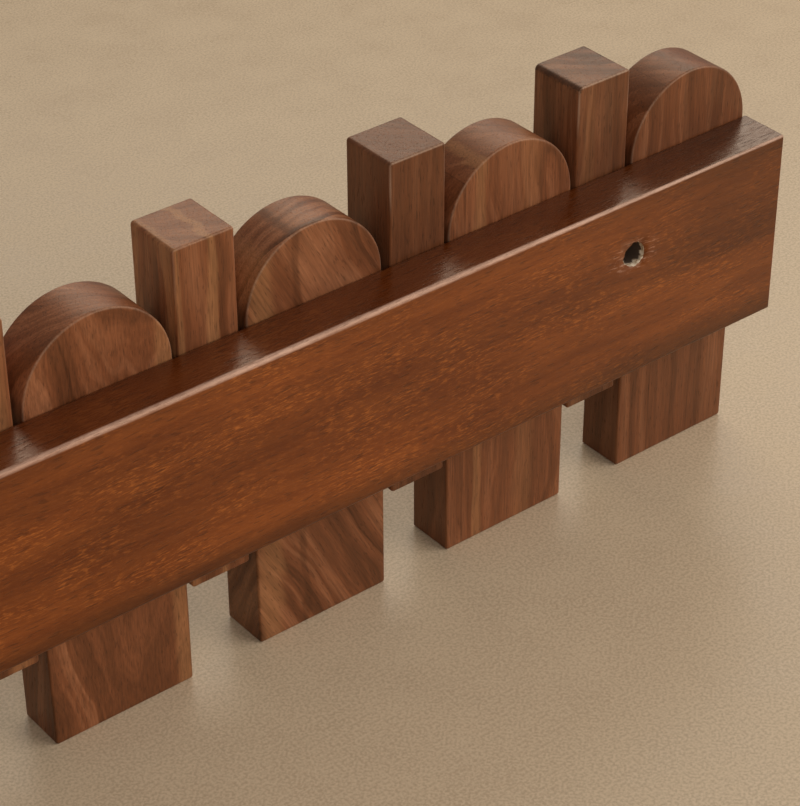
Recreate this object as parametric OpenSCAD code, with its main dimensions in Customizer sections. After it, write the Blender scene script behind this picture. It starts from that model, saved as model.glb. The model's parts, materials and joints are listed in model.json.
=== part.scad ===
// Wall rack with fold-down wooden hooks.
// A long rail carries a row of arch-topped blocks. In each gap between two blocks
// a square post turns on a steel pin, and its top tips forward to make a hook.
// The heel of the post then stops against the lower front edge of the rail.
// The rack also stands on the flat feet of its blocks.
//
// Frame: X runs along the rail, -Y is the front, +Y is the wall side, and Z is up.
// The floor is z = 0, and x = y = 0 is the middle of the rack. Millimetres.

/* [Rail] */
// Height of the back rail
rail_h = 80; // [70:1:95]
// Thickness of the back rail
rail_t = 21.5; // [18:0.5:30]
// Radius on the four long edges of the rail
rail_edge_r = 1.8; // [0.5:0.1:3]
// Height of the underside of the rail above the feet
rail_lift = 64; // [50:1:80]
// How far the rail reaches past the last block at each end
rail_overhang = 1; // [0:0.5:5]

/* [Arch blocks] */
// Width of each arch block
arch_w = 60; // [50:1:80]
// Thickness of each arch block
arch_t = 21; // [18:1:24]

/* [Hook posts] */
// Side of the square post
post_w = 25.5; // [20:0.5:28]
// Height of the top of the post above the top of the rail
post_rise = 41; // [20:1:60]
// Length of the heel below the underside of the rail
post_drop = 23; // [21:1:30]
// Free space on each side of a post that hangs in the middle of its gap
side_gap = 2.75; // [2:0.25:6]
// Space between the back of a closed post and the rail
rest_gap = 0.3; // [0.3:0.1:1]

/* [Pivots] */
// Diameter of the steel pins
pin_d = 5; // [4:0.5:6]
// Depth that each end of a pin goes into its block
pin_seat = 12; // [8:0.5:15]
// Distance from the front of the rail to the pin axis
pivot_forward = 13.5; // [12.5:0.5:14]
// Distance from the underside of the rail down to the pin axis
pivot_drop = 8; // [7:0.5:9]
// Radial running clearance of a post on its pin
pin_clearance = 0.05; // [0.02:0.01:0.1]

/* [Joinery] */
// Diameter of the wooden dowels that join each block to the rail
dowel_d = 8; // [6:1:10]
// Length of those dowels
dowel_len = 30; // [24:1:32]
// Height of the two dowels of a block above the underside of the rail
dowel_heights = [20, 60]; // [10:1:65]
// Softening radius on the edges of the blocks and posts
edge_r = 1; // [0.4:0.1:1.5]

/* [Wall fixing] */
// Diameter of the two holes that hang on wall pegs
fixing_d = 10; // [6:0.5:12]
// Depth of those holes
fixing_depth = 15; // [10:1:16]
// Distance from each end of the rail to the hole centre
fixing_inset = 78; // [70:1:80]
// Height of the hole centre above the underside of the rail
fixing_height = 55.5; // [40:0.5:65]

/* [Hidden] */
$fn = 96;
arch_count = 6;
post_count = arch_count - 1;
// Sideways place of each post within its play, from the -X end to the +X end
post_shift = [0.2, -1.4, 0.3, 0.5, 0];

pitch = arch_w + post_w + 2 * side_gap;
row_len = (arch_count - 1) * pitch + arch_w;
rail_len = row_len + 2 * rail_overhang;
depth = rail_t + rest_gap + post_w;
back_y = depth / 2;
front_y = back_y - rail_t;
rail_top_z = rail_lift + rail_h;
pivot_y = front_y - pivot_forward;
pivot_z = rail_lift - pivot_drop;
end_room = 0.5;
past = 1;

function arch_x(i) = -row_len / 2 + arch_w / 2 + (i - 1) * pitch;
function gap_x(i) = arch_x(i) + pitch / 2;

// Rectangle from the origin with round corners
module round_rect(a, b, r) {
    translate([r, 0]) square([a - 2 * r, b]);
    translate([0, r]) square([a, b - 2 * r]);
    for (x = [r, a - r], y = [r, b - r]) translate([x, y]) circle(r);
}

// Extrusions of an outline along each axis, from the origin to length
module along_x(length) {
    rotate([90, 0, 90]) linear_extrude(length) children();
}

module along_y(length) {
    translate([0, length, 0]) rotate([90, 0, 0]) linear_extrude(length) children();
}

module along_z(length) {
    linear_extrude(length) children();
}

// Straight bore or pin along +X or +Y, from the origin
module rod_x(d, length) {
    rotate([0, 90, 0]) cylinder(d = d, h = length);
}

module rod_y(d, length) {
    rotate([-90, 0, 0]) cylinder(d = d, h = length);
}

// Box with every edge rounded: three extruded outlines cut each other
module soft_box(a, b, c, r) {
    intersection() {
        along_x(a) round_rect(b, c, r);
        along_y(b) round_rect(a, c, r);
        along_z(c) round_rect(a, b, r);
    }
}

// Upper half of a disc with round rims, standing on the XZ plane
module half_disc(radius, thick, r) {
    intersection() {
        rotate([-90, 0, 0]) rotate_extrude() intersection() {
            translate([-radius, 0]) round_rect(2 * radius, thick, r);
            square([radius, thick]);
        }
        translate([-radius - past, -past, 0])
            cube([2 * radius + 2 * past, thick + 2 * past, radius + past]);
    }
}

// Arch block: straight legs with a half-round head, sunk for its joinery
module arch_block(i) {
    x = arch_x(i);
    legs = rail_top_z;
    color([0.40, 0.26, 0.18]) difference() {
        union() {
            translate([x - arch_w / 2, front_y - arch_t, 0]) intersection() {
                along_z(legs) round_rect(arch_w, arch_t, edge_r);
                along_x(arch_w) round_rect(arch_t, legs + arch_t, edge_r);
                along_y(arch_t) round_rect(arch_w, legs + arch_w, edge_r);
            }
            translate([x, front_y - arch_t, legs]) half_disc(arch_w / 2, arch_t, edge_r);
        }
        dowel_bores(i);
        pin_bores(i);
    }
}

module dowel_bores(i) {
    bore = dowel_len + 2 * end_room;
    for (z = dowel_heights)
        translate([arch_x(i), front_y - bore / 2, rail_lift + z]) rod_y(dowel_d, bore);
}

module pin_bores(i) {
    if (i > 1) pin_bore(i - 1);
    if (i < arch_count) pin_bore(i);
}

module pin_bore(gap) {
    bore = post_w + 2 * (side_gap + pin_seat + end_room);
    translate([gap_x(gap) - bore / 2, pivot_y, pivot_z]) rod_x(pin_d, bore);
}

// Post: a square bar that turns on the pin through its lower end
module hook_post(i) {
    length = post_drop + rail_h + post_rise;
    x = gap_x(i) + post_shift[i - 1] - post_w / 2;
    y = front_y - rest_gap - post_w;
    color([0.43, 0.29, 0.20]) difference() {
        translate([x, y, rail_lift - post_drop]) soft_box(post_w, post_w, length, edge_r);
        translate([x - past, pivot_y, pivot_z])
            rod_x(pin_d + 2 * pin_clearance, post_w + 2 * past);
    }
}

module pivot_pin(i) {
    length = post_w + 2 * (side_gap + pin_seat);
    color([0.70, 0.70, 0.72])
        translate([gap_x(i) - length / 2, pivot_y, pivot_z]) rod_x(pin_d, length);
}

module arch_dowels(i) {
    color([0.82, 0.68, 0.50])
        for (z = dowel_heights)
            translate([arch_x(i), front_y - dowel_len / 2, rail_lift + z])
                rod_y(dowel_d, dowel_len);
}

// Rail: rounded long edges, crisp ends, dowel bores in front and peg holes behind
module back_rail() {
    end_r = 0.6;
    color([0.43, 0.22, 0.12]) difference() {
        translate([-rail_len / 2, front_y, rail_lift]) intersection() {
            along_x(rail_len) round_rect(rail_t, rail_h, rail_edge_r);
            along_y(rail_t) round_rect(rail_len, rail_h, end_r);
            along_z(rail_h) round_rect(rail_len, rail_t, end_r);
        }
        for (i = [1:arch_count]) dowel_bores(i);
        for (side = [-1, 1])
            translate([side * (rail_len / 2 - fixing_inset), back_y - fixing_depth,
                       rail_lift + fixing_height])
                rod_y(fixing_d, fixing_depth + past);
    }
}

back_rail();
for (i = [1:arch_count]) {
    arch_block(i);
    arch_dowels(i);
}
for (i = [1:post_count]) {
    hook_post(i);
    pivot_pin(i);
}
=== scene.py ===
# %% [markdown]
# # A wall rack with fold-down wooden hooks
#
# The rack is a long stained rail with a row of walnut blocks glued to its front. Each
# block has a half-round head and a flat foot. A square walnut post stands in every gap
# between two blocks and tips forward on a hidden steel pin, so that it becomes a hook.
#
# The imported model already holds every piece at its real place, and its joints. This
# lesson keeps those places and makes what the eye needs: softened edges, a torn drill
# hole, walnut grain that differs from block to block, and a lacquered rail.

# %% Load the frame
import json
from math import ceil, cos, pi, radians, sin

import bmesh
import bpy
import numpy as np
from mathutils import Euler, Matrix, Vector


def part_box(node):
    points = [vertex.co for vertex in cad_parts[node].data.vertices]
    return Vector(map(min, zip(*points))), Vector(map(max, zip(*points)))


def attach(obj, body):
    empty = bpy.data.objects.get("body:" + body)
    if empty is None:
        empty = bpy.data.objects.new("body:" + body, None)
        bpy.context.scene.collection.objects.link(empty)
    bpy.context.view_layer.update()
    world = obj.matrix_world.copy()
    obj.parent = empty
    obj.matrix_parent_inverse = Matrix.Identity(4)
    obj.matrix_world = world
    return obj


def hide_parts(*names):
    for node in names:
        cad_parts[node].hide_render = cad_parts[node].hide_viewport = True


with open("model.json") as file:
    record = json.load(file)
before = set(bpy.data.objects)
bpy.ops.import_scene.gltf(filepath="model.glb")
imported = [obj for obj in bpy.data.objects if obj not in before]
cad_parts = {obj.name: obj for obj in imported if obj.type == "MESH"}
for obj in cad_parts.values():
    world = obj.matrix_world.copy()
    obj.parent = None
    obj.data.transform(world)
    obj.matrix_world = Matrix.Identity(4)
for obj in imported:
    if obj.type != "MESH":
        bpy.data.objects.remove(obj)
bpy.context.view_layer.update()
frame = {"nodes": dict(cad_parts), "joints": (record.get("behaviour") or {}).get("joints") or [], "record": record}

MM = 0.001
ROOT = "rack"

# %% [markdown]
# ## Reading sizes from the frame
#
# The pieces could be sized with numbers typed in again, but then a change to the CAD
# model would leave the looks behind. Every place is read from the frame instead: the
# boxes of the rail, blocks and posts, and the mounts and joints of the record.

# %% Boxes of the wooden pieces
BLOCKS = sorted(n for n in frame["nodes"] if n.startswith("arch_block_"))
POSTS = sorted(n for n in frame["nodes"] if n.startswith("hook_post_"))
rail_lo, rail_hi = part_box("back_rail")
mounts = {m["name"]: m for m in frame["record"]["mounts"]}
pivots = [Vector(j["pos_m"]) for j in frame["joints"]]
pin_lo, pin_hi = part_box("pivot_pin_1")
pin_radius = (pin_hi.z - pin_lo.z) / 2
print(len(BLOCKS), "blocks,", len(POSTS), "posts, pin radius", round(pin_radius / MM, 2), "mm")

# %% [markdown]
# ## Camera
#
# The rack is seen from behind and from above, with its -X end the farther one, through
# a long lens that keeps the blocks nearly parallel. A camera can be aimed with a
# constraint, but a matrix built from its three axes is exact and can hold a slight roll
# too. The aim point lies on the back of the rail, measured from its -X end and underside.

# %% Camera behind the rack
AZIMUTH, ELEVATION, ROLL = radians(141.54), radians(34.76), radians(0.27)
LENS, SENSOR, DISTANCE = 116.0, 36, 0.9402
AIM_ALONG, AIM_UP = 0.1921, 0.0365

aim = Vector((rail_lo.x + AIM_ALONG, rail_hi.y, rail_lo.z + AIM_UP))
level = cos(ELEVATION)
forward = Vector((-sin(AZIMUTH) * level, cos(AZIMUTH) * level, -sin(ELEVATION)))
right = forward.cross(Vector((0, 0, 1))).normalized()
right = Matrix.Rotation(ROLL, 3, forward) @ right
upward = right.cross(forward)

camera_data = bpy.data.cameras.new("camera")
camera_data.lens = LENS
camera_data.sensor_width = SENSOR
camera = bpy.data.objects.new("camera", camera_data)
bpy.context.scene.collection.objects.link(camera)
turn = Matrix((right, upward, -forward)).transposed().to_4x4()
camera.matrix_world = Matrix.Translation(aim - forward * DISTANCE) @ turn
bpy.context.scene.camera = camera
print("camera at", [round(x, 3) for x in camera.matrix_world.translation])

# %% [markdown]
# ## Node steps
#
# Materials here are graphs of dozens of nodes. Written out one call at a time they are
# hard to follow, so a few small helpers make one node each and return the socket that
# carries its result. A material then reads like a formula. First come the helpers for
# plain numbers and for vectors.

# %% Numbers and vectors
def step(tree, kind, inputs, **settings):
    """One shader node. A socket among the inputs is linked, and any other value is set."""
    made = tree.nodes.new("ShaderNode" + kind)
    for key, value in settings.items():
        setattr(made, key, value)
    for key, value in inputs.items():
        if isinstance(value, bpy.types.NodeSocket):
            tree.links.new(value, made.inputs[key])
        else:
            made.inputs[key].default_value = value
    return made


def calc(tree, operation, a, b=0.0, c=0.0):
    """Arithmetic on one or more numbers."""
    return step(tree, "Math", {0: a, 1: b, 2: c}, operation=operation).outputs[0]


def vector(tree, operation, a, b=(0, 0, 0)):
    """Arithmetic on two vectors."""
    return step(tree, "VectorMath", {0: a, 1: b}, operation=operation).outputs[0]


def scaled(tree, value, amount):
    """A colour or vector times a number."""
    return step(tree, "VectorMath", {0: value, "Scale": amount}, operation="SCALE").outputs[0]


def point(tree, x, y, z=0.0):
    """A vector made of three numbers."""
    return step(tree, "CombineXYZ", {0: x, 1: y, 2: z}).outputs[0]


def xyz(tree, value):
    """The three numbers of a vector."""
    return step(tree, "SeparateXYZ", {0: value}).outputs[:3]


def distance(tree, x, y, z=0.0):
    """How far a point with these three coordinates is from zero."""
    return step(tree, "VectorMath", {0: point(tree, x, y, z)}, operation="LENGTH").outputs["Value"]


def object_place(tree):
    """The place on the piece in metres, in the shared frame."""
    return step(tree, "TexCoord", {}).outputs["Object"]


# %% [markdown]
# Two more steps do most of the work in a natural finish. Noise drawn out along one
# direction is fibre, pores or clouds, depending on how many waves fit in a millimetre.
# A remap with a smooth slope then picks out the part of its range that should show.

# %% Noise, ranges and colours
def noise(tree, place, waves, detail=2.0, rough=0.5):
    """Smooth random values around 0.5 in space. waves is their number in one unit of
    place: one number, or one for each of X, Y and Z."""
    each = waves if isinstance(waves, tuple) else (waves, waves, waves)
    inputs = {"Vector": vector(tree, "MULTIPLY", place, each), "Scale": 1.0,
              "Detail": detail, "Roughness": rough}
    return step(tree, "TexNoise", inputs).outputs["Fac"]


def remap(tree, value, low, high, to_low=0.0, to_high=1.0):
    """value moved smoothly from the range low..high to the range to_low..to_high."""
    inputs = {0: value, 1: low, 2: high, 3: to_low, 4: to_high}
    return step(tree, "MapRange", inputs, interpolation_type="SMOOTHSTEP").outputs[0]


def tint(tree, amount, a, b):
    """Colour a with colour b laid over it by amount."""
    return step(tree, "Mix", {0: amount, 6: a, 7: b}, data_type="RGBA").outputs[2]


def relief(tree, shader, height, strength, most):
    """Bump on the shader: a height from 0 to 1 that stands for 0 to most metres."""
    inputs = {"Strength": strength, "Distance": most, "Height": height}
    tree.links.new(step(tree, "Bump", inputs).outputs[0], shader.inputs["Normal"])


def new_material(name):
    """An empty material whose one shader is ready, with its tree and that shader."""
    made = bpy.data.materials.new(name)
    made.use_nodes = True
    tree = made.node_tree
    return made, tree, tree.nodes["Principled BSDF"]


print("node helpers:", ", ".join(f.__name__ for f in (calc, vector, noise, remap, tint, relief)))

# %% [markdown]
# ## Floor
#
# The rack stands on a plain pale floor with a satin sheen. The floor could be one flat
# colour, but a fine mottle keeps it from looking like paper, and a soft sheen lets the
# feet and the rail mirror faintly in it.

# %% Floor
FLOOR_HALF = 4.0
FLOOR_DARK = (0.495, 0.360, 0.228, 1)
FLOOR_PALE = (0.640, 0.478, 0.308, 1)
FINE_MOTTLE, BROAD_MOTTLE = 850, 40


def mottled_floor():
    """Pale beige plaster: fine and broad noise together shift its lightness and sheen."""
    made, tree, shader = new_material("mottled_floor")
    place = object_place(tree)
    fine = noise(tree, place, FINE_MOTTLE, 1, 0.6)
    broad = noise(tree, place, BROAD_MOTTLE, 3)
    mottle = calc(tree, "MULTIPLY_ADD", fine, 0.95, calc(tree, "MULTIPLY", broad, 0.20))
    colour = tint(tree, remap(tree, mottle, 0.35, 0.75), FLOOR_DARK, FLOOR_PALE)
    tree.links.new(colour, shader.inputs["Base Color"])
    tree.links.new(remap(tree, broad, 0.3, 0.7, 0.26, 0.34), shader.inputs["Roughness"])
    shader.inputs["Specular IOR Level"].default_value = 0.20
    return made


floor_mesh = bpy.data.meshes.new("floor")
square = [(-1, -1), (1, -1), (1, 1), (-1, 1)]
floor_mesh.from_pydata([(x * FLOOR_HALF, y * FLOOR_HALF, 0) for x, y in square], [], [(0, 1, 2, 3)])
floor_mesh.materials.append(mottled_floor())
floor = bpy.data.objects.new("floor", floor_mesh)
bpy.context.scene.collection.objects.link(floor)
print("floor", 2 * FLOOR_HALF, "m across")

# %% [markdown]
# ## Light
#
# Four soft boxes light the rack. The strongest stands on the camera's right, low, and
# lights the wall side. One beyond the rack is mirrored by every top and by the floor,
# except where the rack itself stands in the way: that is the darker floor in front of
# it. A weak one on the left keeps the shaded sides readable, and another, warm and
# higher up on the right, shows the ends. A dim, even sky fills the rest, as the walls
# of a pale room would.

# %% Soft boxes and sky
RACK_MIDDLE = Vector((-0.07, 0, 0.1))
REACH = 1.8
SKY_STRENGTH = 0.24
# Direction from the rack, width and height in metres, power in watts, colour
SOFT_BOXES = {
    "right_box": ((-0.58, 0.62, 0.53), (1.6, 1.2), 17, (1, 1, 1)),
    "back_box": ((-0.51, -0.64, 0.57), (1.4, 0.8), 9.3, (1, 0.93, 0.80)),
    "left_box": ((0.50, 0.75, 0.45), (1.0, 0.8), 6.4, (1, 1, 1)),
    "high_box": ((-0.75, 0.10, 0.65), (1.0, 0.8), 3.0, (1, 0.93, 0.82)),
}


def soft_box(name, place, size, power, colour):
    """A rectangular area light that faces the rack."""
    data = bpy.data.lights.new(name, "AREA")
    data.shape = "RECTANGLE"
    data.size, data.size_y = size
    data.energy = power
    data.color = colour
    made = bpy.data.objects.new(name, data)
    bpy.context.scene.collection.objects.link(made)
    away = place - RACK_MIDDLE
    made.matrix_world = Matrix.Translation(place) @ away.to_track_quat("Z", "Y").to_matrix().to_4x4()


for name, (way, size, power, colour) in SOFT_BOXES.items():
    soft_box(name, RACK_MIDDLE + REACH * Vector(way).normalized(), size, power, colour)
    print(name, size, "m,", power, "W")

world = bpy.data.worlds.new("pale_room")
world.use_nodes = True
sky = world.node_tree.nodes["Background"]
sky.inputs["Color"].default_value = (1, 1, 1, 1)
sky.inputs["Strength"].default_value = SKY_STRENGTH
bpy.context.scene.world = world
bpy.context.scene.view_settings.view_transform = "Standard"

# %% [markdown]
# ## Softened prisms
#
# Rail, blocks and posts are all one idea: an outline carried straight through a
# thickness, with every edge sanded soft. The Bevel modifier could round a plain
# extrusion, but it gives one even radius. Here each point of the surface is a formula
# of two numbers: where along the outline it is, and how far through the thickness.
# That lets the softness wander along an edge, as it does after sanding by hand.
#
# An outline is put together from straight stretches and quarter rounds. Square windows
# are left in it where a hole will be drilled, so points must fall on their edges.

# %% Places along a stretch
CORNER_STEPS = 6
WINDOW_STEPS = 12


def run(breaks, pitch, fine=()):
    """Evenly spaced places between breaks, with WINDOW_STEPS in each interval in fine."""
    pieces = []
    for lo, hi in zip(breaks[:-1], breaks[1:]):
        in_window = any(abs((lo + hi) / 2 - w) < 1e-6 for w in fine)
        count = WINDOW_STEPS if in_window else max(1, ceil((hi - lo) / pitch))
        pieces.append(np.linspace(lo, hi, count, endpoint=False))
    return np.append(np.concatenate(pieces), breaks[-1])


def window_breaks(lo, hi, centres, half):
    """The ends lo and hi with both edges of every window between them."""
    return sorted([lo, hi] + [c - half for c in centres] + [c + half for c in centres])


def straight(places, fixed, side, along):
    """Outline points on a straight stretch: their anchors, no corner pull, one normal."""
    other = np.full_like(places, fixed)
    anchor = np.stack([places, other] if along == 0 else [other, places], 1)
    normal = np.zeros_like(anchor)
    normal[:, 1 - along] = side
    return anchor, np.zeros_like(anchor), normal


def corner(a, b, side_a, side_b, start, factor=1.0):
    """A quarter round at corner (a, b): radius times pull moves each point off the corner."""
    angle = start + np.linspace(0, pi / 2, CORNER_STEPS + 1)
    normal = np.stack([np.cos(angle), np.sin(angle)], 1)
    anchor = np.tile([a, b], (len(angle), 1)).astype(float)
    return anchor, factor * (normal - np.array([side_a, side_b])), normal


def joined(stretches):
    """The stretches of an outline, end to end, as one set of arrays."""
    return [np.concatenate(column) for column in zip(*stretches)]


print("a stretch of 0.1 m with a window:", len(run(window_breaks(0, 0.1, [0.05], 0.004), 0.01, [0.05])))

# %% [markdown]
# Two outlines are enough. The bar is a rectangle, for rail and posts, and the arch has
# straight legs under a half circle. Each also has a spine, the line down its middle on
# which its flat faces will close.

# %% Bar and arch
HEAD_STEPS = 48


def bar_outline(half_w, low, high, edge, windows=(), half=0.0, pitch=8 * MM, factors=(1, 1, 1, 1)):
    """A rectangle, anticlockwise from its lower right corner, and the line its faces close on.

    edge is the length kept for each corner, and factors make single corners softer.
    """
    level_run = run([-half_w + edge, half_w - edge], pitch)
    rise = run(window_breaks(low + edge, high - edge, windows, half), pitch, windows)
    anchor, pull, normal = joined([
        corner(half_w, low, 1, -1, -pi / 2, factors[0]),
        straight(rise, half_w, 1, 1),
        corner(half_w, high, 1, 1, 0, factors[1]),
        straight(level_run[::-1], high, 1, 0),
        corner(-half_w, high, -1, 1, pi / 2, factors[2]),
        straight(rise[::-1], -half_w, -1, 1),
        corner(-half_w, low, -1, -1, pi, factors[3]),
        straight(level_run, low, -1, 0),
    ])
    spine = np.stack([0 * anchor[:, 0], np.clip(anchor[:, 1], low + half_w, high - half_w)], 1)
    return anchor, pull, normal, spine


def arch_outline(half_w, low, high, edge, windows=(), half=0.0, pitch=6 * MM):
    """Straight legs with a half-round head, anticlockwise from the lower right corner."""
    centre = high - half_w
    rise = run(window_breaks(low + edge, centre, windows, half), pitch, windows)
    sweep = np.linspace(0, pi, HEAD_STEPS + 1)[1:-1]
    head_normal = np.stack([np.cos(sweep), np.sin(sweep)], 1)
    head = (head_normal * half_w + [0, centre], 0 * head_normal, head_normal)
    anchor, pull, normal = joined([
        corner(half_w, low, 1, -1, -pi / 2),
        straight(rise, half_w, 1, 1),
        head,
        straight(rise[::-1], -half_w, -1, 1),
        corner(-half_w, low, -1, -1, pi),
        straight(run([-half_w + edge, half_w - edge], pitch), low, -1, 0),
    ])
    spine = np.stack([0 * anchor[:, 0], np.clip(anchor[:, 1], low + half_w, centre)], 1)
    return anchor, pull, normal, spine


print("a bar outline has", len(bar_outline(0.01, 0, 0.1, 0.002)[0]), "points")

# %% [markdown]
# The thickness is a row of columns: from the middle of the front face out to its rim,
# over a quarter round, across the side, over the other quarter round and back to the
# middle of the rear face. A column just inside each rim, and one beside each round,
# hold the flat faces flat, because smooth shading then bends only in narrow strips.

# %% The surface of a softened prism
ROUND_STEPS = 6
HOLD = 0.35 * MM
FACE_SHARES = (0.35, 0.7, 1.0)


def wandering(count, random, amount):
    """A closed row of factors near 1 that rises and falls gently: three slow sine waves."""
    angle = np.linspace(0, 2 * pi, count, endpoint=False)
    waves = sum(np.sin(k * angle + random.uniform(0, 2 * pi)) / k for k in (2, 3, 5))
    return 1 + amount * waves


def prism_points(outline, corner_radius, rim, columns):
    """Points (outline, column, 3): anchor + radius x pull - inset x normal, at each depth.

    rim is the radius of the rounds between faces and sides, one for each outline point.
    corner_radius is one number, or one for each column. columns are depths on the side,
    which start and end where the rounds do.
    """
    anchor, pull, normal, spine = outline
    bend = np.linspace(0, pi / 2, ROUND_STEPS + 1)[:-1]
    front, back = columns[0] - rim.max(), columns[-1] + rim.max()
    inset_in = rim[:, None] * (1 - np.sin(bend))
    depth_in = front + rim[:, None] * (1 - np.cos(bend))
    inset = np.hstack([inset_in, np.zeros((len(anchor), len(columns))), inset_in[:, ::-1]])
    side = np.tile(columns, (len(anchor), 1))
    depth = np.hstack([depth_in, side, back + front - depth_in[:, ::-1]])
    radius = np.broadcast_to(np.asarray(corner_radius, float), len(columns))
    radius = np.pad(radius, ROUND_STEPS, mode="edge")
    flat = (anchor[:, None] + radius[None, :, None] * pull[:, None]
            - inset[..., None] * normal[:, None])
    faces = []
    for ring, face_depth in ((flat[:, 0], front), (flat[:, -1], back)):
        way = spine - ring
        hold = ring + way * (HOLD / np.linalg.norm(way, axis=1))[:, None]
        rings = [hold] + [hold + (spine - hold) * share for share in FACE_SHARES]
        faces.append(np.stack([np.column_stack([r, np.full(len(r), face_depth)]) for r in rings], 1))
    body = np.concatenate([flat, depth[..., None]], 2)
    return np.concatenate([faces[0][:, ::-1], body, faces[1]], 1)


def side_columns(front, back, rim, pitch, windows=(), half=0.0):
    """Depths across a side, between its two rounds, with a holding column by each round."""
    lo, hi = front + rim, back - rim
    inner = run(window_breaks(lo + HOLD, hi - HOLD, windows, half), pitch, windows)
    return np.concatenate([[lo], inner, [hi]])


print("a side 20 mm deep has", len(side_columns(0, 20 * MM, MM, 5 * MM)), "columns")

# %% [markdown]
# ## Drilled holes
#
# A Boolean cut would do, but it leaves long thin faces that shade badly. Instead the
# grid leaves out a small square window, and a patch fills it: its rings run from the
# square to the round rim, down the wall of the hole and across its end. The rim of a
# drilled hole in lacquered wood is torn, so the ring radius can vary with the angle.

# %% Patches that fill a window with a hole
BROKEN_RIM = 0.35 * MM


def window_ring(half):
    """Points round a square window, anticlockwise from its lower right corner."""
    side = np.linspace(-half, half, WINDOW_STEPS + 1)[:-1]
    full = np.full(WINDOW_STEPS, half)
    across = np.concatenate([full, -side, -full, side])
    up = np.concatenate([side, full, -side, -full])
    return np.stack([across, up], 1)


def hole_patch(half, rings):
    """Grid (rings, round, 3) of across, up and depth: the square, then each ring, which is
    a depth with a radius or with a function that gives the radius by angle."""
    edge = window_ring(half)
    angle = np.arctan2(edge[:, 1], edge[:, 0])
    unit = np.stack([np.cos(angle), np.sin(angle)], 1)
    grid = [np.column_stack([edge, np.zeros(len(edge))])]
    for radius, depth in rings:
        reach = radius(angle) if callable(radius) else np.full(len(angle), radius)
        grid.append(np.column_stack([unit * reach[:, None], np.full(len(angle), depth)]))
    return np.array(grid)


def place_patch(patch, centre, across, up, inward):
    """A patch in space: its three numbers are steps along three directions from centre."""
    return np.asarray(centre, float) + patch @ np.array([across, up, inward], float)


def plain_bore(radius, depth, blind):
    """Rings of a clean bore: a slightly broken rim, the wall, and its end if it has one."""
    rings = [(radius + BROKEN_RIM, 0.0), (radius, BROKEN_RIM), (radius, depth)]
    return rings + [(0.0, depth)] if blind else rings


print("a blind bore's patch has", len(plain_bore(pin_radius, 10 * MM, True)) + 1, "rings of",
      len(window_ring(4 * MM)), "points")

# %% [markdown]
# A mesh is then the prism's grid without its windows, plus the patches. Points that
# coincide are merged, which closes the faces along their middle line and sews in each
# patch. The script counts open edges, because a printed or simulated part needs none.

# %% From grids to one closed mesh
MERGE = 0.002 * MM


def grid_quads(points):
    """The quads of a grid that closes on itself along its first direction."""
    rows, columns = points.shape[:2]
    index = np.arange(rows * columns).reshape(rows, columns)
    following = np.roll(index, -1, axis=0)
    quads = [index[:, :-1], following[:, :-1], following[:, 1:], index[:, 1:]]
    return np.stack(quads, -1).reshape(-1, 4)


def inside_windows(points, quads, windows):
    """Which quads have their middle in a window, given as (lowest, highest) corners."""
    middle = points.reshape(-1, 3)[quads].mean(1)
    found = np.zeros(len(quads), bool)
    for lo, hi in windows:
        found |= np.all((middle > lo) & (middle < hi), axis=1)
    return found


def make_piece(name, points, windows, patches, materials):
    """One closed mesh object from a prism grid and its patches: (grid, material index)."""
    quads = grid_quads(points)
    quads = quads[~inside_windows(points, quads, windows)]
    vertices, faces = [points.reshape(-1, 3)], [quads]
    kinds = [np.zeros(len(quads), int)]
    base = points.size // 3
    for patch, kind in patches:
        turned = patch.transpose(1, 0, 2)
        vertices.append(turned.reshape(-1, 3))
        faces.append(grid_quads(turned) + base)
        ring = np.tile(np.arange(patch.shape[0] - 1), patch.shape[1])
        kinds.append(np.where(ring >= 1, kind, 0))
        base += turned.size // 3
    mesh = bpy.data.meshes.new(name)
    mesh.from_pydata(np.concatenate(vertices).tolist(), [], np.concatenate(faces).tolist())
    mesh.polygons.foreach_set("material_index", np.concatenate(kinds).astype(np.int32))
    for material in materials:
        mesh.materials.append(material)
    sewn = bmesh.new()
    sewn.from_mesh(mesh)
    bmesh.ops.remove_doubles(sewn, verts=sewn.verts, dist=MERGE)
    bmesh.ops.recalc_face_normals(sewn, faces=sewn.faces)
    open_edges = sum(not e.is_manifold for e in sewn.edges)
    sewn.to_mesh(mesh)
    sewn.free()
    mesh.shade_smooth()
    made = bpy.data.objects.new(name, mesh)
    bpy.context.scene.collection.objects.link(made)
    print(f"{name}: {len(mesh.polygons)} faces, {open_edges} open edges")
    return made


# %% [markdown]
# ## Walnut
#
# Walnut is a solid pattern, not a picture wrapped round a block: the same growth rings
# make stripes on the sides and arcs on the end grain. So the material is a formula in
# space. Distance from the heart of a log that lies somewhere beside the block gives
# the rings, noise bends them, and noise drawn out along the grain gives streaks and
# pores. Each block gets its own log, tilt and tone, and some are glued from strips.
#
# The palette runs from pale sapwood to nearly black late wood. Oiled walnut has a warm
# gleam rather than a white one, so the tint of the gleam is part of it.

# %% Walnut colours and grain sizes
WALNUT_LIGHT = (0.335, 0.130, 0.056, 1)
WALNUT_MID = (0.175, 0.055, 0.020, 1)
WALNUT_DARK = (0.066, 0.019, 0.006, 1)
WALNUT_GOLD = (0.325, 0.142, 0.054, 1)
WALNUT_PORE = (0.030, 0.012, 0.006, 1)
# Colour of rubbed walnut, which also serves as a painted highlight on the rear rim and on the bruised edge
WALNUT_RUBBED_AND_HIGHLIGHT = (0.46, 0.30, 0.20, 1)
OIL_TINT = (1.0, 0.72, 0.47, 1)

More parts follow.
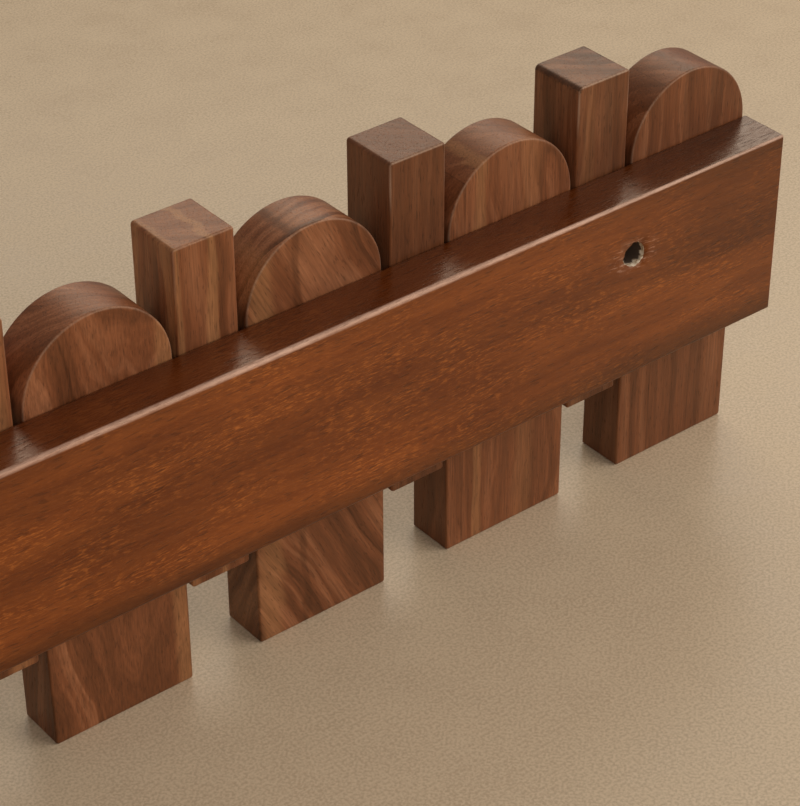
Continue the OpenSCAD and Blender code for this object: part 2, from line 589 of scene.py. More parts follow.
# Waves in one millimetre, across the grain twice and then along it
DRIFT_WAVES = (0.030, 0.030, 0.011)
BROAD_BANDS = (0.20, 0.030, 0.006)
NARROW_BANDS = (0.95, 0.1425, 0.012)
FIBRE_WAVES = (1.25, 1.25, 0.06)
PORE_WAVES = (1.6, 1.6, 0.22)
CLOUD_WAVES = (0.04, 0.04, 0.022)
BLOT_WAVES = (1.1, 0.8, 1.1)
# How far the pattern jumps in millimetres from one glued strip to the next
STRIP_JUMP = (31, 47, 83)
print("fibres about", round(1 / FIBRE_WAVES[0], 1), "mm wide and", round(1 / FIBRE_WAVES[2]), "mm long")

# %% [markdown]
# The grain runs along Z, turned by the block's own tilt. A glued strip comes from
# another board, so past each glue line the pattern jumps to a place far away in the
# same log. Growth rings are not equally strong: one noise value for each year decides
# how dark its late wood is.

# %% Rings and bands
def grain_space(tree, middle, heart, tilt, seams):
    """Local millimetres, the width across the piece, and grain coordinates round the heart."""
    local = scaled(tree, vector(tree, "SUBTRACT", object_place(tree), tuple(middle)), 1 / MM)
    width = xyz(tree, local)[0]
    board = local
    for seam in seams:
        past = calc(tree, "GREATER_THAN", width, seam)
        board = vector(tree, "ADD", board, scaled(tree, STRIP_JUMP, past))
    grain = step(tree, "Mapping", {"Vector": board, "Rotation": Euler(tilt)}).outputs[0]
    return local, width, vector(tree, "ADD", grain, (heart[0], heart[1], 0))


def growth(tree, grain, spacing, wander):
    """Ring radius with slow bends, and the dark late wood that ends each ring."""
    drift = noise(tree, grain, DRIFT_WAVES)
    x, y, z = xyz(tree, grain)
    squares = calc(tree, "MULTIPLY_ADD", x, x, calc(tree, "MULTIPLY", y, y))
    radius = calc(tree, "MULTIPLY_ADD", drift, wander * 4, calc(tree, "SQRT", squares))
    age = calc(tree, "DIVIDE", radius, spacing)
    season = calc(tree, "FRACT", age)
    darkening = remap(tree, season, 0.30, 0.90)
    late = calc(tree, "MULTIPLY", darkening, remap(tree, season, 0.93, 1.0, 1.0, 0.0))
    year = point(tree, calc(tree, "MULTIPLY", age, 0.45), 3.7, 1.3)
    vigour = remap(tree, noise(tree, year, 1, 1), 0.35, 0.65)
    return radius, y, z, calc(tree, "MULTIPLY", late, vigour)


def bands(tree, radius, y, z, waves):
    """Lighter and darker bands that follow the rings and run far along the grain."""
    return remap(tree, noise(tree, point(tree, radius, y, z), waves, 3, 0.55), 0.3, 0.7)


def ring_colour(tree, late, broad, narrow, cloud, figure):
    """Wood colour: late wood, bands and clouds add up to one darkness, spread by figure."""
    dark = calc(tree, "MULTIPLY_ADD", late, 0.36, calc(tree, "MULTIPLY", broad, 0.42))
    dark = calc(tree, "MULTIPLY_ADD", narrow, 0.26, dark)
    dark = calc(tree, "MULTIPLY_ADD", cloud, 0.20, dark)
    dark = calc(tree, "MULTIPLY_ADD", calc(tree, "SUBTRACT", dark, 0.5), figure, 0.5)
    ramp = step(tree, "ValToRGB", {0: dark})
    stops = ramp.color_ramp.elements
    stops[0].position, stops[0].color = 0.02, WALNUT_LIGHT
    stops[1].position, stops[1].color = 1.0, WALNUT_DARK
    stops.new(0.50).color = WALNUT_MID
    return ramp.outputs["Color"]


print("rings, bands and clouds make one darkness between", WALNUT_LIGHT[:3], "and", WALNUT_DARK[:3])

# %% [markdown]
# On top of the rings lie the things that tell one block from another: a stripe of
# sapwood, a dark vein, and the glue lines between strips, each strip a little lighter
# or darker than the next.

# %% Stripes and glued strips
def striped(tree, wood, across, stripes, colour):
    """Wood with stripes of a colour: (place across the width, half-width, strength)."""
    for centre, half, strength in stripes:
        off = calc(tree, "ABSOLUTE", calc(tree, "SUBTRACT", across, centre))
        wood = tint(tree, remap(tree, off, half * 0.3, half, strength, 0.0), wood, colour)
    return wood


def glued(tree, lightness, width, seams, seam_tones):
    """Lightness that changes at each glue line, with the line itself a thin dark one."""
    for seam, before, after in zip(seams, seam_tones[:-1], seam_tones[1:]):
        past = calc(tree, "GREATER_THAN", width, seam)
        change = calc(tree, "MULTIPLY_ADD", past, after / before - 1, 1.0)
        lightness = calc(tree, "MULTIPLY", lightness, change)
        line = calc(tree, "ABSOLUTE", calc(tree, "SUBTRACT", width, seam))
        lightness = calc(tree, "MULTIPLY", lightness, remap(tree, line, 0.05, 0.30, 0.75, 1.0))
    return lightness


print("each strip jumps", STRIP_JUMP, "mm in the log")

# %% [markdown]
# Hands and wall rub the rear rim of a head or post until the oil is gone and the wood
# pales, and the pale rim also stands in for the gleam of the rounded rim: a painted
# highlight. Painting wear by hand would need a picture. The distance from the rim is known
# exactly, though, so wear and highlight can be a formula: pale within a millimetre of the rim, and
# ragged along the fibre. One post was also knocked, and its top edge is bruised dark, with a pale
# line along it that is wear and painted highlight.

# %% Wear and painted highlight
def rear_rim(tree, local, width, size, head):
    """1 on the upper rim of the rear face, falling to 0 a millimetre away from it."""
    y, z = xyz(tree, local)[1:]
    crown = size.z - size.x
    up = calc(tree, "MAXIMUM", calc(tree, "SUBTRACT", z, crown), 0.0)
    if head == "round":
        radial = distance(tree, width, up)
    else:
        radial = calc(tree, "MAXIMUM", calc(tree, "ABSOLUTE", width), up)
    inwards = calc(tree, "SUBTRACT", size.x, radial)
    away = distance(tree, inwards, calc(tree, "SUBTRACT", size.y, y))
    upper = remap(tree, z, crown - 12.0, crown + 2.0)
    return calc(tree, "MULTIPLY", upper, remap(tree, away, 0.25, 0.95, 1.0, 0.0))


def bruised_edge(tree, wood, local, size, amount):
    """Wood with a ragged dark bruise on the top edge of the +X side, and a pale line on it that is wear and a
    painted highlight.
    """
    x, _, z = xyz(tree, local)
    edge = distance(tree, calc(tree, "SUBTRACT", size.x, x), calc(tree, "SUBTRACT", size.z, z))
    blot = noise(tree, local, BLOT_WAVES, 2, 0.7)
    near = remap(tree, calc(tree, "MULTIPLY_ADD", blot, -5.0, edge), -1.4, 0.0, amount, 0.0)
    wood = tint(tree, near, wood, WALNUT_PORE)
    # The pale line on the bruised edge is wear and a painted highlight
    line = remap(tree, edge, 0.4, 1.0, 0.8, 0.0)
    pale = calc(tree, "MULTIPLY", line, remap(tree, blot, 0.38, 0.52))
    return tint(tree, pale, wood, WALNUT_RUBBED_AND_HIGHLIGHT)


print("worn walnut is", WALNUT_RUBBED_AND_HIGHLIGHT[:3])

# %% [markdown]
# The whole material takes these steps in order: rings, stripes, pores, the lightness of
# fibres and strips, the side faces, darkened as painted shade on blocks and lightened as
# painted light on posts, then wear, whose pale rim is also a painted highlight. Fibres and
# pores also drive the roughness and a very shallow relief, so the gleam breaks up along the grain.

# %% The whole walnut material
def walnut(name, box, heart, head, tilt=(0, 0, 0), spacing=5.0, wander=5.0, figure=1.0,
           tone=1.0, seams=(), seam_tones=(), gold=(), shade=(), rubbed_and_highlighted=0.24, bruised=0.0,
           sides=1.0):
    """Walnut with growth rings round a heart line.

    box is the piece's lowest and highest corner. heart is where the log's heart lies
    beside its middle, in mm. head is the outline of its top, "round" or "square".
    tilt turns the grain, spacing is the ring pitch in mm, and wander is how far noise
    bends the rings. seams are glue lines across the width, in mm from the middle, and
    seam_tones the lightness of each strip. gold and shade are stripes of lighter and
    darker wood: (place across the width, half-width, strength). rubbed is how pale the
    rear rim becomes, as wear and as painted highlight, and bruised how dark the top edge
    on the +X side has become. sides scales the lightness of the two faces across X: below 1
    that is painted shade, above 1 painted light.
    """
    made, tree, shader = new_material(name)
    size = (box[1] - box[0]) / MM / 2
    local, width, grain = grain_space(tree, (box[0] + box[1]) / 2, heart, tilt, seams)
    radius, y, z, late = growth(tree, grain, spacing, wander)
    broad = bands(tree, radius, y, z, BROAD_BANDS)
    narrow = bands(tree, radius, y, z, NARROW_BANDS)
    fibre = noise(tree, grain, FIBRE_WAVES, 2, 0.65)
    pores = remap(tree, noise(tree, grain, PORE_WAVES, 1), 0.60, 0.72)
    cloud = remap(tree, noise(tree, local, CLOUD_WAVES), 0.3, 0.7)

    wood = ring_colour(tree, late, broad, narrow, cloud, figure)
    wavy = calc(tree, "MULTIPLY_ADD", calc(tree, "SUBTRACT", broad, 0.5), 3.0, width)
    wood = striped(tree, wood, wavy, gold, WALNUT_GOLD)
    wood = striped(tree, wood, wavy, shade, WALNUT_DARK)
    wood = tint(tree, calc(tree, "MULTIPLY", pores, 0.36), wood, WALNUT_PORE)

    lightness = remap(tree, fibre, 0.25, 0.75, 0.78 * tone, 1.22 * tone)
    lightness = glued(tree, lightness, width, seams, seam_tones)
    # The two faces across X: painted shade on blocks (sides below 1), painted light on posts (sides above 1)
    from_side = calc(tree, "SUBTRACT", size.x, calc(tree, "ABSOLUTE", width))
    lightness = calc(tree, "MULTIPLY", lightness, remap(tree, from_side, 0.1, 0.9, sides, 1.0))
    wood = scaled(tree, wood, lightness)

    # The pale rear rim: wear, and a painted highlight along the rim
    worn_and_highlighted = remap(tree, fibre, 0.35, 0.60, 0.6 * rubbed_and_highlighted, rubbed_and_highlighted)
    worn_and_highlighted = calc(tree, "MULTIPLY", rear_rim(tree, local, width, size, head), worn_and_highlighted)
    wood = tint(tree, worn_and_highlighted, wood, WALNUT_RUBBED_AND_HIGHLIGHT)
    if bruised:
        wood = bruised_edge(tree, wood, local, size, bruised)
    tree.links.new(wood, shader.inputs["Base Color"])

    sheen = calc(tree, "MULTIPLY_ADD", pores, 0.15, remap(tree, fibre, 0.2, 0.8, 0.35, 0.47))
    tree.links.new(sheen, shader.inputs["Roughness"])
    height = calc(tree, "MULTIPLY_ADD", pores, -1.0, calc(tree, "MULTIPLY", fibre, 0.5))
    relief(tree, shader, height, 0.3, 0.12 * MM)
    shader.inputs["Specular IOR Level"].default_value = 0.5
    shader.inputs["Specular Tint"].default_value = OIL_TINT
    print(f"{name}: {len(tree.nodes)} nodes")
    return made


# %% [markdown]
# ## Pin bores
#
# A steel pin goes into a blind bore in the side of each neighbouring block and right
# through the post between them. The side of a block that has no post beside it stays
# whole. The bore in a post is two patches that meet in its middle.

# %% Windows and patches for the pins
PIN_WINDOW = 4.0 * MM
PIN_HOLE_PLAY = 0.05 * MM
BORE_ROOM = 0.5 * MM
NEXT_PIVOT = 40 * MM
WINDOW_DEPTH = 0.5 * MM


def pin_patches(lo, hi, depth, blind):
    """Windows and patches for the bores in both sides of a piece. A blind bore is left
    out where no pivot lies beyond the side."""
    windows, patches = [], []
    for face_x, way in ((hi.x, -1), (lo.x, 1)):
        if blind and not any(0 <= (face_x - p.x) * way < NEXT_PIVOT for p in pivots):
            continue
        centre = np.array([face_x, pivots[0].y, pivots[0].z])
        reach = np.array([WINDOW_DEPTH, PIN_WINDOW, PIN_WINDOW])
        windows.append((centre - reach, centre + reach))
        patch = hole_patch(PIN_WINDOW, plain_bore(pin_radius + PIN_HOLE_PLAY, depth, blind))
        patches.append((place_patch(patch, centre, (0, 1, 0), (0, 0, 1), (way, 0, 0)), 0))
    return windows, patches


side_gap = abs(pivots[0].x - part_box(BLOCKS[0])[1].x)
pin_seat = (pin_hi.x - pin_lo.x) / 2 - side_gap + BORE_ROOM
print("each blind bore is", round(pin_seat / MM, 2), "mm deep")

# %% [markdown]
# ## Blocks with half-round heads
#
# Each block is sawn, sanded over its rim and glued to the rail. The first two and the
# last were glued from strips of different boards, the others are one board with its
# own figure: slanting, arched or nearly straight.

# %% Make the blocks
SOFT = 0.9 * MM
CORNER_SOFT = 1.3 * SOFT
# Painted shade on the side faces of the blocks: their lightness factor
BLOCK_SIDE_SHADE = 0.67
random = np.random.default_rng(7)

BLOCK_WOOD = [
    dict(heart=(120, 60), spacing=9, wander=3, figure=0.55, tone=0.98, seams=(-9.5, 13),
         seam_tones=(0.97, 1.06, 0.98), shade=((1, 3, 0.35), (-14, 4, 0.3))),
    dict(heart=(55, 70), spacing=7, wander=8, figure=0.55, tone=1.25, seams=(-17, 22),
         seam_tones=(1.06, 1.0, 0.94), gold=((-10, 7, 0.2), (15, 3, 0.45))),
    dict(heart=(30, 90), tilt=(0, radians(-27), 0), spacing=5, wander=3, figure=1.05, tone=1.14,
         gold=((24, 8, 0.5),), shade=((8, 2.5, 0.45),)),
    dict(heart=(16, 40), tilt=(radians(7), 0, 0), spacing=11, wander=5, figure=0.85, tone=1.3,
         gold=((-26, 5, 0.5),)),
    dict(heart=(45, 30), tilt=(0, radians(4), 0), spacing=6, wander=6, figure=0.7),
    dict(heart=(80, 25), spacing=5, wander=4, figure=0.6, seams=(4,), seam_tones=(0.96, 1.04)),
]


def upright_piece(name, lo, hi, outline, softness, depth, blind, material):
    """A block or post: its outline in X and Z, carried along Y, with its pin bores."""
    rim = SOFT * wandering(len(outline[0]), random, softness)
    columns = side_columns(lo.y, hi.y, rim.max(), 5 * MM, [pivots[0].y], PIN_WINDOW)
    points = prism_points(outline, CORNER_SOFT, rim, columns)
    points = points[..., [0, 2, 1]] + [(lo.x + hi.x) / 2, 0, 0]
    windows, patches = pin_patches(lo, hi, depth, blind)
    return make_piece(name, points, windows, patches, [material])


def make_block(node, wood):
    """An arch-headed block, which rides on the rack."""
    lo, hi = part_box(node)
    outline = arch_outline((hi.x - lo.x) / 2, lo.z, hi.z, 2 * SOFT, [pivots[0].z], PIN_WINDOW)
    material = walnut("walnut_" + node, (lo, hi), head="round", sides=BLOCK_SIDE_SHADE, **wood)
    name = node.replace("arch_block", "arched_block")
    made = upright_piece(name, lo, hi, outline, 0.10, pin_seat, True, material)
    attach(made, ROOT)
    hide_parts(node)
    return made


blocks = [make_block(node, wood) for node, wood in zip(BLOCKS, BLOCK_WOOD)]
print(len(blocks), "blocks with", sum(len(b.data.polygons) for b in blocks), "faces in all")

# %% [markdown]
# ## Hook posts
#
# A post is a square bar on end. Its top shows end grain, and its rim was knocked off
# by hand, so one corner can be softer than the next. The pin passes right through the
# lower end.

# %% Make the posts
# Painted light on the side faces of the posts: their lightness factor
POST_SIDE_LIGHT = 1.18

POST_WOOD = [
    dict(heart=(70, 90), spacing=7, wander=3, figure=0.80, tone=0.84, gold=((7, 4, 0.2),),
         shade=((-5, 6, 0.35),), rubbed_and_highlighted=0.6, bruised=0.6),
    dict(heart=(75, 60), spacing=4, wander=2, figure=0.42, tone=0.80, rubbed_and_highlighted=0.5),
    dict(heart=(40, 60), spacing=6, wander=4, figure=0.6, tone=1.2,
         gold=((-2.5, 2.5, 0.6), (11, 2, 0.45))),
    dict(heart=(55, 40), spacing=7, wander=3, figure=0.6, tone=1.25, gold=((-6, 8, 0.5),)),
    dict(heart=(33, 48), spacing=6, wander=4, figure=0.7),
]
# How soft each corner is, anticlockwise from the lower one on the +X side
POST_CORNERS = [(1, 1.9, 1.2, 1), (1, 1.3, 1.1, 1), (1, 1.2, 1, 1), (1, 1.2, 1, 1), (1, 1.1, 1.3, 1)]


def make_post(node, body, wood, factors):
    """A square post, which rides on the body that its joint turns."""
    lo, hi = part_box(node)
    half_w = (hi.x - lo.x) / 2
    outline = bar_outline(half_w, lo.z, hi.z, 3 * SOFT, [pivots[0].z], PIN_WINDOW, factors=factors)
    material = walnut("walnut_" + node, (lo, hi), head="square", sides=POST_SIDE_LIGHT, **wood)
    name = node.replace("hook_post", "square_post")
    made = upright_piece(name, lo, hi, outline, 0.12, half_w, False, material)
    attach(made, body)
    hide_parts(node)
    return made


post_bodies = [j["child"] for j in frame["joints"]]
posts = [make_post(*item) for item in zip(POSTS, post_bodies, POST_WOOD, POST_CORNERS)]
print(len(posts), "posts with", sum(len(p.data.polygons) for p in posts), "faces in all")

# %% [markdown]
# ## Stained rail
#
# The rail is a pale board stained red-brown and lacquered. The stain sinks into short
# pores and stays on top of dense patches, which then shine gold as light catches the
# fibres. The board is glued from two lengths, and near the end the lower one is
# lighter. Lacquer is a second, smoother layer over the wood. A full coat would turn the
# stain milky, so the shader's coat is thin, and the wood under it has its own gleam,
# tinted like the stain.

# %% Stain colours and grain sizes
STAIN_RED = (0.125, 0.0225, 0.0026, 1)
STAIN_ORANGE = (0.43, 0.118, 0.020, 1)
STAIN_DARK = (0.040, 0.007, 0.0015, 1)
# Pale wood where the stain is rubbed through; on the top rear edge it is also a painted highlight
STAIN_RUBBED_AND_HIGHLIGHT = (0.66, 0.40, 0.28, 1)
LACQUER_TINT = (1.0, 0.62, 0.38, 1)
SECOND_BOARD_TOP = 36.0
RAIL_HEIGHT = (rail_hi.z - rail_lo.z) / MM

# Waves in one millimetre, along X, Y and Z
BEND_WAVES = (0.010, 0.03, 0.03)
GLOW_WAVES = (0.0085, 0.03, 0.032)
PATCH_WAVES = (0.022, 0.05, 0.06)
STREAK_WAVES = (0.022, 0.26, 0.30)
DASH_WAVES = (0.23, 1.15, 1.25)
RAIL_PORE_WAVES = (0.13, 1.0, 1.1)
print("the rail is", round(RAIL_HEIGHT, 1), "mm high, and its dashes are about",
      round(1 / DASH_WAVES[0], 1), "mm long")

# %% [markdown]
# Several layers decide how warm and how dark the stain is at a point. Dense patches and
# streaks hold more orange, and the second board is lighter. The rail grows darker towards
# its lower edge and its -X end, and painted shade darkens the top, which the blocks keep
# from the light, and a band just under the top rear edge.

# %% How the stain took, and painted shade
def warmth(tree, flecks, patches, streaks, glow, second_board, on_top):
    """How orange the stain is: flecks show most in dense patches, and least on top."""
    warm = calc(tree, "MULTIPLY", flecks, calc(tree, "MULTIPLY_ADD", patches, 0.52, 0.14))
    warm = calc(tree, "MULTIPLY_ADD", remap(tree, streaks, 0.35, 0.65), 0.17, warm)
    warm = calc(tree, "MULTIPLY_ADD", glow, 0.13, warm)
    warm = calc(tree, "MULTIPLY_ADD", second_board, 0.07, warm)
    return calc(tree, "MULTIPLY", warm, calc(tree, "MULTIPLY_ADD", on_top, -0.6, 1.0))


def stain_and_shade_lightness(tree, x, z, glow, second_board, on_top):
    """Lightness of the stain, with painted shade on the top and below the top rear edge: a product of one factor
    for each place and layer.
    """
    factors = [
        # Painted shade on the top face, where the blocks stand in the light
        calc(tree, "MULTIPLY_ADD", on_top, -0.30, 1.0),
        # Darker towards the -X end
        remap(tree, x, 0.0, 170.0, 0.66, 1.10),
        calc(tree, "MULTIPLY_ADD", second_board, 0.26, 1.0),
        calc(tree, "MULTIPLY_ADD", glow, 0.24, 0.86),
        # Painted shadow in a band just under the top rear edge
        remap(tree, z, RAIL_HEIGHT - 11, RAIL_HEIGHT - 2, 1.0, 0.80),
    ]
    # Darker towards the lower edge
    lightness = remap(tree, z, 0.0, 15.0, 0.50, 1.0)
    for factor in factors:
        lightness = calc(tree, "MULTIPLY", lightness, factor)
    return lightness


print("the second board is glued in below", SECOND_BOARD_TOP, "mm")

# %% [markdown]
# Two kinds of wear show the pale wood under the stain: the top rear edge is rubbed
# along its whole length, and the drill has split fibres round the hanging holes. The pale
# top rear edge is also a painted highlight, wider towards +X, where a gleam on the round
# edge would be.

# %% Rubbed edge with painted highlight, and split fibres
def rubbed_edge_and_highlight(tree, x, y, z, dashes, patches):
    """How pale the top rear edge is, as wear and as painted highlight: most on the edge itself, wider towards +X,
    and broken up by the grain.
    """
    away = distance(tree, 0.0, y, calc(tree, "SUBTRACT", z, RAIL_HEIGHT))
    away = calc(tree, "DIVIDE", away, remap(tree, x, 20.0, 220.0, 0.6, 1.1))
    broken = remap(tree, dashes, 0.35, 0.6, 0.7, 1.0)
    rubbed_and_highlighted = calc(tree, "MULTIPLY", remap(tree, away, 1.0, 1.9, 0.8, 0.0), broken)
    return calc(tree, "MULTIPLY", rubbed_and_highlighted, calc(tree, "MULTIPLY_ADD", patches, 0.3, 0.7))


def split_fibres(tree, x, y, z, dashes):
    """Pale split fibres round the two hanging holes, strongest at their rims."""
    hole = Vector(mounts["hanging_hole_a"]["pos_m"])
    from_middle = abs(hole.x - (rail_lo.x + rail_hi.x) / 2) / MM
    aside = calc(tree, "ABSOLUTE", calc(tree, "SUBTRACT", x, (rail_hi.x - rail_lo.x) / 2 / MM))
    off_x = calc(tree, "MULTIPLY", calc(tree, "SUBTRACT", aside, from_middle), 0.55)
    off_z = calc(tree, "SUBTRACT", z, (hole.z - rail_lo.z) / MM)
    away = distance(tree, off_x, off_z, y)
    near = remap(tree, away, 5.0, 8.5, 0.35, 0.0)
    return calc(tree, "MULTIPLY", near, remap(tree, dashes, 0.52, 0.66))


print("rubbed stain is", STAIN_RUBBED_AND_HIGHLIGHT[:3])

# %% [markdown]
# In the material the grain runs along X and waves gently up and down, and every layer
# reads the same wavy coordinates, so streaks, dashes and pores bend together.

# %% Stained and lacquered wood
def stained_wood():
    """Red-brown stain: grain along X, fine dashes, gold patches and one glue line."""
    made, tree, shader = new_material("stained_rail_wood")
    start = (rail_lo.x, rail_hi.y, rail_lo.z)
    local = scaled(tree, vector(tree, "SUBTRACT", object_place(tree), start), 1 / MM)
    x, y, z = xyz(tree, local)
    bend = noise(tree, local, BEND_WAVES)
    wavy = point(tree, x, y, calc(tree, "MULTIPLY_ADD", bend, 9, z))
    lower = remap(tree, z, SECOND_BOARD_TOP - 0.4, SECOND_BOARD_TOP + 0.4, 1.0, 0.0)
    second_board = calc(tree, "MULTIPLY", lower, remap(tree, x, 20.0, 120.0, 1.0, 0.0))
    on_top = remap(tree, z, RAIL_HEIGHT - 1, RAIL_HEIGHT)

    glow = remap(tree, noise(tree, wavy, GLOW_WAVES), 0.32, 0.68)
    patches = remap(tree, noise(tree, wavy, PATCH_WAVES), 0.38, 0.64)
    streaks = noise(tree, wavy, STREAK_WAVES, 3, 0.6)
    dashes = noise(tree, wavy, DASH_WAVES, 2, 0.7)
    flecks = remap(tree, dashes, 0.48, 0.68)
    pores = remap(tree, noise(tree, wavy, RAIL_PORE_WAVES, 1), 0.58, 0.70)

    warm = warmth(tree, flecks, patches, streaks, glow, second_board, on_top)
    colour = tint(tree, warm, STAIN_RED, STAIN_ORANGE)
    colour = tint(tree, calc(tree, "MULTIPLY", pores, 0.48), colour, STAIN_DARK)
    colour = scaled(tree, colour, stain_and_shade_lightness(tree, x, z, glow, second_board, on_top))
    # The pale top rear edge: wear and a painted highlight
    colour = tint(tree, rubbed_edge_and_highlight(tree, x, y, z, dashes, patches), colour, STAIN_RUBBED_AND_HIGHLIGHT)
    colour = tint(tree, split_fibres(tree, x, y, z, dashes), colour, STAIN_RUBBED_AND_HIGHLIGHT)
    tree.links.new(colour, shader.inputs["Base Color"])

    gloss = calc(tree, "MULTIPLY_ADD", on_top, -0.06, remap(tree, dashes, 0.3, 0.7, 0.28, 0.42))
    tree.links.new(gloss, shader.inputs["Roughness"])
    relief(tree, shader, calc(tree, "SUBTRACT", dashes, pores), 0.45, 0.12 * MM)
    shader.inputs["Specular IOR Level"].default_value = 0.7
    shader.inputs["Specular Tint"].default_value = LACQUER_TINT
    shader.inputs["Coat Weight"].default_value = 0.06
    shader.inputs["Coat Roughness"].default_value = 0.16
    print(f"{made.name}: {len(tree.nodes)} nodes")
    return made


# %% [markdown]
# Inside a hanging hole the wood was never stained. Its lip is torn and cream, and
# deeper down the wall carries painted shade, so the hole looks nearly black.

# %% Raw wood in the holes
CREAM_DARK = (0.34, 0.22, 0.12, 1)
CREAM_PALE = (0.78, 0.62, 0.44, 1)
# Painted shade for the deeper wall of a hanging hole
HOLE_SHADE = (0.065, 0.035, 0.018, 1)


def raw_wood():
    """Unstained wood in a drilled hole: a torn cream lip, then painted shade on the deeper wall."""
    made, tree, shader = new_material("raw_wood")
    place = object_place(tree)
    fibre = noise(tree, place, (500, 900, 900), 3)
    cream = tint(tree, remap(tree, fibre, 0.3, 0.7), CREAM_DARK, CREAM_PALE)
    deep = calc(tree, "SUBTRACT", rail_hi.y, xyz(tree, place)[1])
    ragged = noise(tree, place, (420, 60, 420), 2, 0.7)
    lip = calc(tree, "MULTIPLY_ADD", ragged, -7 * MM, deep)
    # Painted shade on the wall deeper than about two millimetres, with a ragged edge
    colour = tint(tree, remap(tree, lip, -2.2 * MM, -0.9 * MM), cream, HOLE_SHADE)
    tree.links.new(colour, shader.inputs["Base Color"])
    shader.inputs["Roughness"].default_value = 0.85
    relief(tree, shader, fibre, 0.5, 0.2 * MM)
    return made


hole_mounts = [mounts["hanging_hole_a"], mounts["hanging_hole_b"]]
hole_radius = hole_mounts[0]["dims"]["r_mm"] * MM
hole_depth = hole_mounts[0]["dims"]["length_mm"] * MM
print("hanging holes", round(2 * hole_radius / MM, 1), "mm wide,", round(hole_depth / MM, 1), "mm deep")

# %% [markdown]
# The drill tore a few bites out of each rim, more at the surface than below it. Each
# bite is a narrow bell curve of its own size and place round the circle, and the
# largest one at an angle counts.

# %% Torn holes
BITES = 9


def torn_radius(radius, bite, seed):
    """Rim radius by angle: the drill's circle plus a few narrow bites of random depth."""
    shape = np.random.default_rng(seed)
    where = shape.uniform(-pi, pi, BITES)
    size = shape.uniform(0.25, 1.0, BITES) * bite
    width = shape.uniform(0.10, 0.28, BITES)

    def reach(angle):
        gap = (angle[:, None] - where + pi) % (2 * pi) - pi
        return radius + (size * np.exp(-(gap / width) ** 2)).max(1)
    return reach


def torn_hole(radius, depth, seed):
    """Rings of a hanging hole: lifted lacquer, ragged shoulder, fibrous wall, flat end."""
    rim = torn_radius(radius, 0.9 * MM, seed)
    shoulder = torn_radius(radius, 0.5 * MM, seed)
    wall = torn_radius(radius - 0.15 * MM, 0.25 * MM, seed + 5)
    deeper = torn_radius(radius - 0.15 * MM, 0.20 * MM, seed + 9)
    return [(rim, 0.0), (shoulder, 0.35 * MM), (wall, 1.1 * MM), (deeper, 3.5 * MM),
            (wall, 8 * MM), (radius - 0.1 * MM, depth), (0.0, depth)]


print("a torn hole has", len(torn_hole(hole_radius, hole_depth, 3)), "rings")

# %% [markdown]
# The rail's outline lies in Y and Z and is carried along X. Its long edges are sharper
# near the ends, where the sander ran off, so the corner radius is given for every
# column.

# %% Make the rail
RAIL_EDGE_END, RAIL_EDGE_MIDDLE = 0.9 * MM, 1.8 * MM
RAIL_CORNER = 2.4 * MM
RAIL_END_RIM = 0.5 * MM
SANDER_RUN = 180 * MM
HANG_WINDOW = 8.0 * MM


def rail_points(hole_x, hole_z):
    """The rail's surface grid, whose edge radius grows from each end over SANDER_RUN."""
    half_t = (rail_hi.y - rail_lo.y) / 2
    outline = bar_outline(half_t, rail_lo.z, rail_hi.z, RAIL_CORNER, [hole_z], HANG_WINDOW)
    columns = side_columns(rail_lo.x, rail_hi.x, RAIL_END_RIM, 6 * MM, hole_x, HANG_WINDOW)
    from_end = np.minimum(columns - rail_lo.x, rail_hi.x - columns)
    share = np.clip(from_end / SANDER_RUN, 0, 1)
    radius = RAIL_EDGE_END + (RAIL_EDGE_MIDDLE - RAIL_EDGE_END) * share
    rim = np.full(len(outline[0]), RAIL_END_RIM)
    points = prism_points(outline, radius, rim, columns)
    return points[..., [2, 0, 1]] + [0, (rail_lo.y + rail_hi.y) / 2, 0]


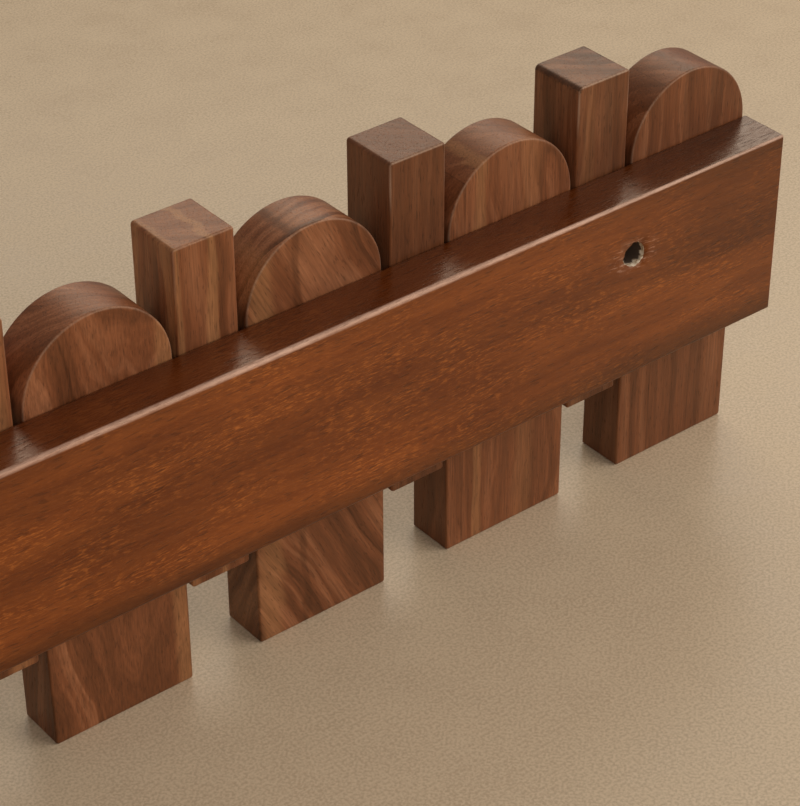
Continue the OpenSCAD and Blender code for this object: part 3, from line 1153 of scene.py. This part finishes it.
def make_rail():
    """The rail with its two torn hanging holes, which rides on the rack."""
    hole_z = hole_mounts[0]["pos_m"][2]
    hole_x = sorted(h["pos_m"][0] for h in hole_mounts)
    windows, patches = [], []
    for number, x in enumerate(hole_x):
        centre = np.array([x, rail_hi.y, hole_z])
        reach = np.array([HANG_WINDOW, WINDOW_DEPTH, HANG_WINDOW])
        windows.append((centre - reach, centre + reach))
        patch = hole_patch(HANG_WINDOW, torn_hole(hole_radius, hole_depth, 3 + number))
        patches.append((place_patch(patch, centre, (1, 0, 0), (0, 0, 1), (0, -1, 0)), 1))
    points = rail_points(hole_x, hole_z)
    made = make_piece("rail_board", points, windows, patches, [stained_wood(), raw_wood()])
    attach(made, ROOT)
    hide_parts("back_rail")
    return made


rail = make_rail()
print("the rail's finishes:", [m.name for m in rail.data.materials])

# %% [markdown]
# ## Pins and dowels
#
# The steel pins show only in the narrow gaps beside the posts, and the beech dowels
# are sealed in the wood. Their CAD shapes are right as they are, so they keep them and
# only get a finish: ground steel with fine turning marks, and raw beech.

# %% Steel and beech
STEEL_DARK, STEEL_PALE = (0.42, 0.42, 0.43, 1), (0.62, 0.61, 0.60, 1)
BEECH_DARK, BEECH_PALE = (0.52, 0.36, 0.21, 1), (0.68, 0.50, 0.32, 1)


def ground_steel():
    """Grey steel with faint rings round the pin from grinding."""
    made, tree, shader = new_material("ground_steel")
    marks = noise(tree, object_place(tree), (9000, 60, 60))
    tree.links.new(remap(tree, marks, 0.3, 0.7, 0.22, 0.38), shader.inputs["Roughness"])
    tree.links.new(tint(tree, marks, STEEL_DARK, STEEL_PALE), shader.inputs["Base Color"])
    shader.inputs["Metallic"].default_value = 1.0
    return made


def raw_beech():
    """Pale beech with short fibres along the dowel."""
    made, tree, shader = new_material("raw_beech")
    fibre = noise(tree, object_place(tree), (1500, 180, 1500), 3)
    colour = tint(tree, remap(tree, fibre, 0.3, 0.7), BEECH_DARK, BEECH_PALE)
    tree.links.new(colour, shader.inputs["Base Color"])
    shader.inputs["Roughness"].default_value = 0.7
    return made


finishes = {"pivot_pin_": ground_steel(), "arch_dowels_": raw_beech()}
for name, piece in frame["nodes"].items():
    for start, material in finishes.items():
        if name.startswith(start):
            piece.data.materials.clear()
            piece.data.materials.append(material)
            print(name, "gets", material.name)
